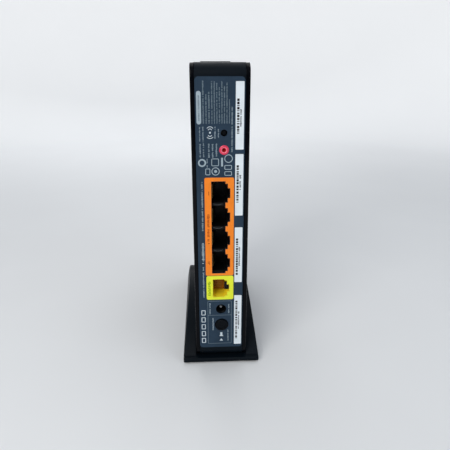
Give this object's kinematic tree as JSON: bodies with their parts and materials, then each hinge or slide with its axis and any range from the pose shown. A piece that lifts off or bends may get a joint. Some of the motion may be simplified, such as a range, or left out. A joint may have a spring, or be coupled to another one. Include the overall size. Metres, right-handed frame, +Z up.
{
  "type": "wireless router",
  "caption": "Slim upright black router in a flared stand, with a row of network sockets, a power inlet, push buttons and a printed label on its narrow back face.",
  "frame": {"origin": "centre of the stand's footprint at table height", "axes": "+Z up; the socket face looks along -Y and the status face along +Y; +X is to the right when the socket face is seen from behind the router"},
  "size_m": [0.0474, 0.121, 0.179],
  "materials": {
    "black_gloss": "polished",
    "black_matte": "satin",
    "label_print": "printed",
    "white_paper": "printed",
    "socket_black": "moulded",
    "socket_yellow": "moulded",
    "contact_gold": "plated",
    "bright_metal": "plated",
    "button_black": "satin",
    "switch_body": "moulded",
    "smoked_lens": "polished",
    "lamp_clear": "frosted",
    "board_green": "solder mask",
    "chip_black": "moulded",
    "pad_grey": "soft",
    "sink_aluminium": "extruded",
    "screw_steel": "zinc plated",
    "stand_black": "satin",
    "foot_rubber": "moulded"
  },
  "bodies": {
    "stand": {"stand_base": "stand_black", "stand_left_cheek": "stand_black", "stand_right_cheek": "stand_black", "stand_screws": "screw_steel", "stand_feet": "foot_rubber"},
    "router": {"centre_frame": "black_matte", "left_lid": "black_gloss", "right_lid": "black_gloss", "rear_label": "label_print", "upper_sticker": "white_paper", "second_sticker": "white_paper", "third_sticker": "white_paper", "lower_sticker": "white_paper", "lan_jack": "socket_black", "lan_contacts": "contact_gold", "wan_jack": "socket_yellow", "wan_contacts": "contact_gold", "dc_jack": "socket_black", "dc_pin": "bright_metal", "dc_spring": "bright_metal", "power_switch": "switch_body", "wireless_switch": "switch_body", "reset_switch": "switch_body", "pairing_switch": "switch_body", "front_lens": "smoked_lens", "status_lamps": "lamp_clear", "light_pipe": "lamp_clear", "main_board": "board_green", "processor": "chip_black", "thermal_pad": "pad_grey", "heat_sink": "sink_aluminium", "radio_chip": "chip_black", "shield_can": "bright_metal", "memory_chip": "chip_black", "flash_chip": "chip_black", "lan_magnetics": "chip_black", "wan_magnetics": "chip_black", "crystal": "bright_metal", "capacitors": "sink_aluminium", "inductors": "chip_black", "upper_antenna": "bright_metal", "lower_antenna": "bright_metal", "cover_screws": "screw_steel", "board_screws": "screw_steel"},
    "power_button": {"power_button": "button_black"},
    "wireless_button": {"wireless_button": "button_black"},
    "reset_button": {"reset_button": "button_black"},
    "pairing_button": {"pairing_button": "button_black"}
  },
  "joints": [
    {"name": "lift_out", "type": "slide", "parent": "stand", "child": "router", "axis": [0, 0, 1], "range_m": [0, 0.06]},
    {"name": "power_push", "type": "slide", "parent": "router", "child": "power_button", "axis": [0, 1, 0], "range_m": [0, 0.0025], "stiffness_N_per_m": 400, "springref_m": -0.002},
    {"name": "wireless_push", "type": "slide", "parent": "router", "child": "wireless_button", "axis": [0, 1, 0], "range_m": [0, 0.0006], "stiffness_N_per_m": 600, "springref_m": -0.001},
    {"name": "reset_push", "type": "slide", "parent": "router", "child": "reset_button", "axis": [0, 1, 0], "range_m": [0, 0.0005], "stiffness_N_per_m": 600, "springref_m": -0.001},
    {"name": "pairing_push", "type": "slide", "parent": "router", "child": "pairing_button", "axis": [0, -1, 0], "range_m": [0, 0.0008], "stiffness_N_per_m": 600, "springref_m": -0.001}
  ]
}
